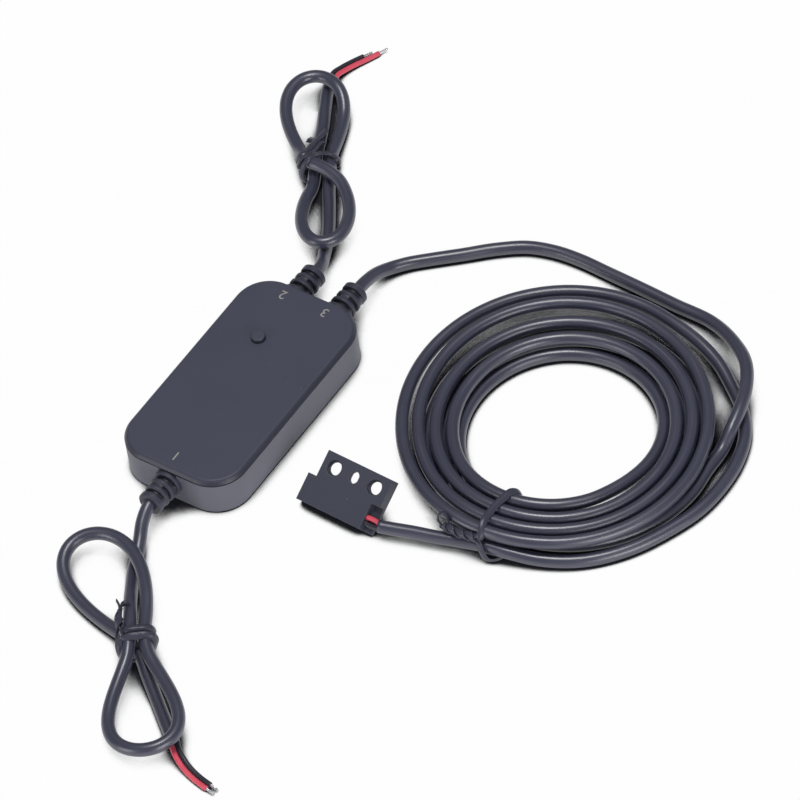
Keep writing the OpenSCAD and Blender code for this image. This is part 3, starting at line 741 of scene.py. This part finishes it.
# Cores and their stripped ends
coreSet = {
    "radius": 0.8,
    "sides": 18,
    "apart": 0.85,
    "step": 0.5,
    "blackShort": 4.3,  # how much shorter the push button cable's black core is cut
    "bareLength": 3.6,
    "sunk": 0.4,  # how far the strands start inside the insulation
    "outerStrands": 6,
    "strandRadius": 0.13,
    "strandSides": 8,
    "strandSteps": 14,
    "strandTurns": 0.7,
    "strandOut": 2.05,  # in strand radii
    "flare": 0.15,
    "stagger": 0.02,
}
powerCores = [
    (54, -115.2, 2), (57, -117.6, 2), (61.4, -119.9, 1.3), (66, -121.3, 0.85), (70.4, -122.2, 0.85),
]
buttonCores = [
    (-50.8, 123.2, 2), (-51.3, 125.2, 2), (-50.8, 128.4, 1.5), (-49.4, 132.4, 1.1), (-47.4, 136.6, 0.85),
    (-45.6, 140.4, 0.85),
]


def coreLine(route, off, short):
    line = beside(smooth(metres(route), coreSet["step"] * mm), off * mm)
    while short > 0:
        short -= (line[-1] - line[-2]).length / mm
        line.pop()
    return line


def core(name, line, slotName):
    mesh = bmesh.new()
    sweep(mesh, line, level(line), circle(coreSet["radius"] * mm, coreSet["sides"]))
    return piece(name, mesh, slotName)


def strands(mesh, line):  # six strands laid round one, as in stranded wire
    start = line[-1]
    ahead = (line[-1] - line[-2]).normalized()
    side = ahead.cross(upward).normalized()
    over = side.cross(ahead)
    around = coreSet["outerStrands"]
    steps = coreSet["strandSteps"]
    section = circle(coreSet["strandRadius"] * mm, coreSet["strandSides"])
    for strand in range(around + 1):
        outMost = 0 if strand == around else coreSet["strandOut"] * coreSet["strandRadius"] * mm
        points = []
        for i in range(steps + 1):
            share = i / steps
            turn = 2 * math.pi * (strand / around + coreSet["strandTurns"] * share)
            out = outMost * (1 + coreSet["flare"] * share ** 3)
            run = (coreSet["bareLength"] * share - coreSet["sunk"]) * mm
            run *= 1 - coreSet["stagger"] * strand
            aside = side * (out * math.cos(turn)) + over * (out * math.sin(turn))
            points.append(start + ahead * run + aside)
        sweep(mesh, points, carried(points, side), section)


def coreEnds(prefix, nodePrefix, route, blackShort):
    redLine = coreLine(route, coreSet["apart"], 0)
    blackLine = coreLine(route, -coreSet["apart"], blackShort)
    red = core(prefix + "RedCore", redLine, "red_insulation")
    black = core(prefix + "BlackCore", blackLine, "black_insulation")
    mesh = bmesh.new()
    strands(mesh, redLine)
    strands(mesh, blackLine)
    bare = piece(prefix + "BareEnds", mesh, "tinned_copper")
    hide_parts(nodePrefix + "_red_wire")
    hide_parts(nodePrefix + "_black_wire")
    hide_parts(nodePrefix + "_bare_ends")
    return [red, black, bare]


powerEnds = coreEnds("power", "dc", powerCores, 0)
buttonEnds = coreEnds("button", "push_button", buttonCores, coreSet["blackShort"])

sensorSet = {
    "corner": Vector((34.5, -21.5, 0)),
    "turn": -2.2,
    "lean": 32.3,
    "coreStep": 0.3,
    "redCore": [
        (22.6, 4.1, 2.5), (24, 4.25, 2.55), (25.4, 4.25, 2.6), (26.8, 4.13, 2.6), (28.2, 4.03, 2.6),
    ],
    "blackCore": [
        (22.6, 2.45, 2.5), (24, 2.3, 2.5), (25.4, 2.3, 2.55), (26.8, 2.43, 2.6), (28.2, 2.53, 2.6),
    ],
}


def onSensor(point):
    lean = Matrix.Rotation(math.radians(sensorSet["lean"]), 3, "X")
    turn = Matrix.Rotation(math.radians(sensorSet["turn"]), 3, "Z")
    return sensorSet["corner"] + turn @ lean @ Vector(point)


for shadeName in ("red", "black"):
    coreRoute = [onSensor(point) for point in sensorSet[shadeName + "Core"]]
    sensorCoreLine = smooth(metres(coreRoute), sensorSet["coreStep"] * mm)
    coreName = "sensor" + shadeName.capitalize() + "Core"
    sensorCore = core(coreName, sensorCoreLine, shadeName + "_insulation")
    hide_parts("sensor_" + shadeName + "_wire")
print("cores stripped")


# Ties: flat ribbons with a wire in the middle
tieSet = {
    "half": 1.12,
    "rim": 0.14,
    "core": 0.4,
    "flats": (0.52, 1.2),  # where the flat ends, as shares of the half width and of the rim
    "shoulder": (0.3, 0.85),  # where the wire bulges, as shares of the half width and of the core
    "tip": (0.86, 0.9),  # shares of the width and the core
    "slim": (0.74, 0.85),
    "pitch": 2.75,
    "step": 0.3,
    "overlap": 0.22,  # how far one edge of a twisted ribbon lifts over the next
}
powerTieSet = {
    "at": (26.1, -92.4),
    "axis": (0.67, -0.74, 0),
    "outline": [
        (-4.6, 8.9), (-2.4, 10.1), (0.3, 10.2), (2.8, 10.05), (4.6, 9.2), (5.2, 7.4), (4.6, 5.4),
        (2.6, 1.9), (-0.2, 0.75), (-2.9, 1.5), (-4.9, 3.6), (-5.4, 6.4),
    ],
    "turns": 2,
    "start": [(21.4, -93.2, 9.6)],
    "finish": [(23.2, -97.4, 7.6), (22, -95.4, 9.4)],
    "tail": [
        (22.4, -95.4, 8.6), (21.4, -94, 9.4), (19.4, -91.5, 9.4), (17.4, -88.8, 9.3), (16.2, -86.6, 9.2),
    ],
    "tailTurns": 0.9,
    "tailWidth": (0.8, 0.35),
    "tipSide": (0, 0, 1),
    "tips": [
        [(16.9, -88, 9.4), (16, -86.4, 9.5), (14.8, -85.2, 9.5), (13.6, -84.4, 9.4)],
        [(17, -88.2, 9), (16, -86, 9), (15.4, -84.4, 8.9), (15.9, -83.3, 8.7), (17, -83, 8.3)],
    ],
}
buttonTieSet = {
    "axis": (1, 0, 0),
    "turn": [
        (-38.7, 102.3, 5), (-38.5, 100.1, 5.5), (-38.3, 97.8, 6.1), (-38, 95.6, 6.8), (-37.5, 92.9, 7.7),
        (-36.9, 90, 8.5), (-37, 87.8, 9), (-37.7, 86.5, 8.5), (-39.2, 86.5, 6.5), (-39.7, 87.1, 4.2),
        (-39, 88.2, 2.2), (-37.4, 89.6, 0.9), (-35, 91.2, 0.5), (-32, 92.9, 0.5), (-30.2, 94, 0.9),
        (-29, 94.3, 2), (-28.7, 94.2, 3.4), (-29.2, 94, 5), (-30.2, 93.7, 6.1), (-31.8, 93, 6.7),
        (-33, 91.8, 7.4), (-33.6, 90, 8.6), (-33.6, 88, 9.7), (-33.9, 86.2, 9.9), (-34.4, 84.6, 8.8),
        (-34.8, 83.7, 7.2), (-35, 83, 5.4), (-34.7, 82.8, 3.6), (-34.5, 83.3, 1.9), (-34.8, 85, 1.1),
    ],
    "second": [
        (-35.4, 97, 5.4), (-36.4, 96.4, 6.2), (-36, 93.7, 7.3), (-35.3, 91, 8.4), (-35.1, 88.5, 9.4),
        (-35.7, 86.4, 9.6), (-36.8, 85.1, 8.3), (-38, 85.3, 6), (-38.5, 86.3, 3.8), (-38, 87.8, 2),
    ],
    "stub": [(-41.7, 96.4, 4.6), (-40.3, 96.2, 5.2), (-38.8, 95.9, 5.9), (-37.2, 95.6, 6.1)],
    "stubAxis": (0, 1, 0),
}
coilTieSet = {
    "axis": (1, 0, 0),
    "band": [
        (90.6, -13.9, 8.6), (92.2, -14.2, 6.8), (94.2, -15.3, 3.8), (95.4, -15.3, 2.1), (96.6, -14.2, 1.1),
        (98.2, -11.7, 0.6), (98.6, -10, 0.5), (97, -5, 0.6), (94.9, 0, 0.7), (94.2, 3.4, 0.8),
        (94.4, 5.2, 1.8), (94.6, 5.85, 4), (94.4, 5.9, 7), (93.6, 5.4, 9.4), (92.6, 3.9, 10.65),
        (91.9, 0.7, 10.9), (91.3, -5.6, 10.9), (91.7, -9.8, 10.9), (92.4, -12, 9.9), (92.6, -13.6, 8.4),
        (91.4, -14.2, 7.4),
    ],
    "tail": [(92.2, -13.8, 8), (89.5, -14, 7.8), (87, -14.2, 7.5), (82.9, -14.2, 7.4), (80.2, -14, 7.4)],
    "tailTurns": 1.9,
    "tailWidth": (0.95, 0.95),
    "tipSide": (0.42, -0.5, 0.75),
    "tips": [
        [(83, -14.3, 7.2), (81.1, -14.5, 7), (79.3, -14.1, 7.7), (78.2, -13.7, 8.8), (78.3, -12.8, 10.1),
         (79.6, -12, 10.4), (80.7, -12.4, 9.4), (81.5, -13.2, 8.2)],
    ],
}


def ribbon(widthShare=1.0, coreShare=1.0):
    half = tieSet["half"] * widthShare
    middle = tieSet["core"] * coreShare
    rim = tieSet["rim"]
    flatAcross, flatUp = tieSet["flats"]
    bulgeAcross, bulgeUp = tieSet["shoulder"]
    upper = [(half, rim), (half * flatAcross, rim * flatUp)]
    upper += [(half * bulgeAcross, middle * bulgeUp), (0, middle)]
    upper += [(-across, up) for across, up in reversed(upper[:-1])]
    lower = [(across, -up) for across, up in reversed(upper)]
    return [(across * mm, up * mm) for across, up in upper + lower]


tieSection = ribbon()
tipSection = ribbon(*tieSet["tip"])
slimSection = ribbon(*tieSet["slim"])


def band(mesh, points, side, section=tieSection):
    line = smooth(metres(points), tieSet["step"] * mm)
    sweep(mesh, line, carried(line, side), section)


def tieTurns(setting):
    axis = Vector(setting["axis"])
    across = upward.cross(axis)
    at = Vector((*setting["at"], 0))
    count = len(setting["outline"])
    points = []
    for turn in range(setting["turns"]):
        for i, (off, height) in enumerate(setting["outline"]):
            along = tieSet["pitch"] * (turn + i / count - 1)
            points.append(tuple(at + across * off + upward * height + axis * along))
    return points


def twist(mesh, setting):  # two ribbons wound round each other, each edge lapped over the next
    line = smooth(metres(setting["tail"]), tieSet["step"] * mm)
    sides = carried(line, upward)
    ahead = directions(line)
    first, last = setting["tailWidth"]
    for half in (0, math.pi):
        strand = []
        outs = []
        for i, point in enumerate(line):
            share = i / (len(line) - 1)
            turn = half - 2 * math.pi * setting["tailTurns"] * share
            outs.append(sides[i] * math.cos(turn) + sides[i].cross(ahead[i]) * math.sin(turn))
            strand.append(point + outs[i] * ((first + (last - first) * share) * mm))
        flats = []
        for out, way in zip(outs, directions(strand)):
            flats.append((way.cross(out).normalized() + out * tieSet["overlap"]).normalized())
        sweep(mesh, strand, flats, tieSection)


def tieTail(mesh, setting):
    twist(mesh, setting)
    for tip in setting["tips"]:
        band(mesh, tip, setting["tipSide"], tipSection)


powerMesh = bmesh.new()
band(powerMesh, powerTieSet["start"] + tieTurns(powerTieSet) + powerTieSet["finish"], powerTieSet["axis"])
tieTail(powerMesh, powerTieSet)
powerTie = piece("powerTie", powerMesh, "tie_plastic")
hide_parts("dc_tie")
buttonMesh = bmesh.new()
band(buttonMesh, buttonTieSet["turn"], buttonTieSet["axis"], slimSection)
band(buttonMesh, buttonTieSet["second"], buttonTieSet["axis"], slimSection)
band(buttonMesh, buttonTieSet["stub"], buttonTieSet["stubAxis"])
buttonTie = piece("buttonTie", buttonMesh, "tie_plastic")
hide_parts("push_button_tie")
coilMesh = bmesh.new()
band(coilMesh, coilTieSet["band"], coilTieSet["axis"])
tieTail(coilMesh, coilTieSet)
coilTie = piece("coilTie", coilMesh, "tie_plastic")
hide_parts("coil_tie")
print("ties wound")


# Shells, reliefs, button and sensor, with their edges eased
dressSet = {
    "base_tray": {"name": "baseShell", "edge": 0.2, "body": mainBody, "seam": True},
    "top_cover": {"name": "coverShell", "edge": 0.16, "body": mainBody, "seam": True, "rim": 12.05},
    "button_cap": {"name": "buttonCap", "edge": 0.12, "body": "button", "rim": 0},
    "dc_strain_relief": {"name": "powerRelief", "edge": 0.14, "body": mainBody, "bore": 0},
    "push_button_strain_relief": {"name": "buttonRelief", "edge": 0.14, "body": mainBody, "bore": -7.5},
    "sensor_strain_relief": {"name": "sensorRelief", "edge": 0.14, "body": mainBody, "bore": 7.5},
    "sensor_housing": {"name": "sensorBody", "edge": 0.2, "body": mainBody},
}
seamSet = {"low": 11.55, "high": 12.05}
# the painted shade in the relief windows fades out between core and rim
windowSet = {"height": 7.2, "core": 2.8, "rim": 3.7}
rimSet = {"flat": 0.985, "from": 0.95, "over": 0.4}  # upward parts of a face's or a corner's normal
easeSet = {
    "weld": 0.002,
    "flatAngle": 1,
    "sharpAngle": 30,
    "smoothAngle": 38,
    "segments": 2,
    "profile": 0.5,
}


def inSeam(point):
    return seamSet["low"] * mm < point.z < seamSet["high"] * mm


# depth masks the painted shade in the seam and in the relief windows
def depth(setting, face, point):  # 1 deep in the seam or in a relief's windows, 0 on the outer faces
    if "seam" in setting:
        return 1.0 if inSeam(face.calc_center_median()) else 0.0
    if "bore" in setting:
        out = math.hypot(point.x / mm - setting["bore"], point.z / mm - windowSet["height"])
        return limit((windowSet["rim"] - out) / (windowSet["rim"] - windowSet["core"]))
    return 0.0


# marks the rounded sides that get painted shade
def rounding(setting, face, vert):  # 1 on the sides of the lid and the button, 0 on their flats
    flat = face.normal.z > rimSet["flat"] or "rim" not in setting
    if flat or face.calc_center_median().z < setting["rim"] * mm:
        return 0.0
    return limit((rimSet["from"] - abs(vert.normal.z)) / rimSet["over"])


def dress(nodeName, setting):
    mesh = bmesh.new()
    mesh.from_mesh(nodes[nodeName].data)
    bmesh.ops.remove_doubles(mesh, verts=mesh.verts, dist=easeSet["weld"] * mm)
    flatAngle = math.radians(easeSet["flatAngle"])
    bmesh.ops.dissolve_limit(mesh, angle_limit=flatAngle, verts=mesh.verts, edges=mesh.edges)
    sharpAngle = math.radians(easeSet["sharpAngle"])
    sharp = [edge for edge in mesh.edges if edge.calc_face_angle(0) > sharpAngle]
    if "seam" in setting:  # the seam keeps its sharp edges, so that it reads as a line
        sharp = [edge for edge in sharp if not all(inSeam(vert.co) for vert in edge.verts)]
    made = bmesh.ops.bevel(
        mesh, geom=sharp, offset=setting["edge"] * mm, offset_type="OFFSET", segments=easeSet["segments"],
        profile=easeSet["profile"], affect="EDGES", clamp_overlap=True,
    )
    worn = mesh.loops.layers.float.new("edge")
    for face in made["faces"]:
        for corner in face.loops:
            corner[worn] = 1.0
    # deep and rim carry where painted shade goes
    deep = mesh.loops.layers.float.new("deep")
    rim = mesh.loops.layers.float.new("rim")
    mesh.normal_update()
    for face in mesh.faces:
        face.smooth = True
        for corner in face.loops:
            corner[deep] = depth(setting, face, corner.vert.co)
            corner[rim] = rounding(setting, face, corner.vert)
    smoothAngle = math.radians(easeSet["smoothAngle"])
    for edge in mesh.edges:
        edge.smooth = edge.calc_face_angle(0) < smoothAngle
    dressed = piece(setting["name"], mesh, slotOf[nodeName], setting["body"])
    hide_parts(nodeName)
    normals = dressed.modifiers.new("evenNormals", "WEIGHTED_NORMAL")
    normals.keep_sharp = True


for nodeName, dressValues in dressSet.items():
    dress(nodeName, dressValues)
print("edges eased:", len(dressSet))


# Plain numbers at the three outlets, in worn print
numberSet = {
    "height": 4.6,
    "top": 13.6,
    "proud": 0.012,
    "places": {"1": (0, -33.6), "2": (-7.5, 33.8), "3": (7.5, 33.8)},
    "shade": colour(172, 166, 164),
    "wear": 3000.0,
    "wearHeight": 0.00002,
    "wearStrength": 0.1,
    "tones": (0.75, 1.1),
    "rough": 0.5,
    "roughSpread": 0.15,
}


def padPrint(name, setting):
    f = Finish(name)
    worn = f.noise(setting["wear"])
    tone = f.tones(worn, setting["shade"], setting["tones"])
    normal = f.bump(worn, setting["wearStrength"], setting["wearHeight"])
    rough = setting["rough"] + worn * setting["roughSpread"]
    return f.surface(baseColor=tone, roughness=rough, normal=normal)


def makeNumber(digit, at, finish):
    curve = bpy.data.curves.new("outletNumber" + digit, "FONT")
    curve.body = digit
    curve.size = numberSet["height"] * mm
    curve.align_x = "CENTER"
    curve.align_y = "CENTER"
    curve.extrude = numberSet["proud"] * mm
    drawn = bpy.data.objects.new("drawn", curve)
    data = bpy.data.meshes.new_from_object(drawn)
    data.name = "outletNumber" + digit
    bpy.data.objects.remove(drawn)
    place = Vector((*at, numberSet["top"])) * mm
    data.transform(Matrix.Translation(place) @ Matrix.Rotation(math.pi, 4, "Z"))
    data.materials.clear()
    data.materials.append(finish)
    made = bpy.data.objects.new("outletNumber" + digit, data)
    bpy.context.scene.collection.objects.link(made)
    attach(made, mainBody)


printFinish = padPrint("padPrint", numberSet)
for digit, at in numberSet["places"].items():
    makeNumber(digit, at, printFinish)
print("numbers printed")


# Floor, backdrop and light
stageSet = {
    "half": 8.0,
    "low": -0.05,
    "shade": (0.86, 0.86, 0.86, 1),
    "contact": 0.009,  # the floor darkens where something this near covers it
    "contactSamples": 20,
    "covered": (0.48, 0.68),
    "shadow": (0.035, 0.035, 0.045, 1),
    "glow": 0.97,
    "mirrored": 0.5,  # the least share of the white floor that reflections show where it is covered
    "sky": (0.93, 0.95, 1.0, 1),
    "skyStrength": 0.25,
}


def makeFloor(setting):
    half = setting["half"]
    low = setting["low"] * mm
    corners = [(-half, -half, low), (half, -half, low), (half, half, low), (-half, half, low)]
    data = bpy.data.meshes.new("floor")
    data.from_pydata(corners, [], [(0, 1, 2, 3)])
    floor = bpy.data.objects.new("floor", data)
    bpy.context.scene.collection.objects.link(floor)
    f = Finish("paleFloor")
    rays = f.node("LightPath")
    mirrored = (f.take(rays, "Is Glossy Ray") + f.take(rays, "Is Transmission Ray")) > 0.5
    samples = {"samples": setting["contactSamples"]}
    near = f.node("AmbientOcclusion", samples, {"Distance": setting["contact"]})
    clear = f.take(near, "AO").ramp(*setting["covered"])
    plain = f.node("BsdfDiffuse", None, {"Color": f.mix(clear, setting["shadow"], setting["shade"])})
    glow = f.node("Emission", None, {"Color": (1, 1, 1, 1), "Strength": 1.0})
    least = setting["mirrored"]
    share = f.take(rays, "Is Camera Ray") * clear + mirrored * (clear * (1 - least) + least)
    share = share * setting["glow"]
    both = f.node("MixShader", None, {0: share, 1: f.take(plain, 0), 2: f.take(glow, 0)})
    f.finishWith(f.take(both, 0))
    data.materials.append(f.material)


def makeSky(setting):
    world = bpy.data.worlds.new("studio")
    bpy.context.scene.world = world
    world.use_nodes = True
    sky = world.node_tree.nodes["Background"]
    sky.inputs["Color"].default_value = setting["sky"]
    sky.inputs["Strength"].default_value = setting["skyStrength"]


lampSet = {
    "keyLamp": {"from": (0.0, 0.1, 1.6), "size": 0.45, "power": 11.0},
    "rightLamp": {"from": (1.2, -0.5, 0.3), "size": 0.8, "power": 7.5},
    "frontLamp": {"from": (-0.5, -1.3, 0.3), "size": 0.8, "power": 5.0},
}
lampTarget = Vector((0.03, 0.02, 0.0))


def makeLamp(name, setting):
    data = bpy.data.lights.new(name, "AREA")
    data.shape = "DISK"
    data.size = setting["size"]
    data.energy = setting["power"]
    lamp = bpy.data.objects.new(name, data)
    bpy.context.scene.collection.objects.link(lamp)
    lamp.location = setting["from"]
    lamp.rotation_euler = (lampTarget - lamp.location).to_track_quat("-Z", "Y").to_euler()


makeFloor(stageSet)
makeSky(stageSet)
for lampName, lampValues in lampSet.items():
    makeLamp(lampName, lampValues)
bpy.context.scene.view_settings.view_transform = "Standard"
print("stage lit")
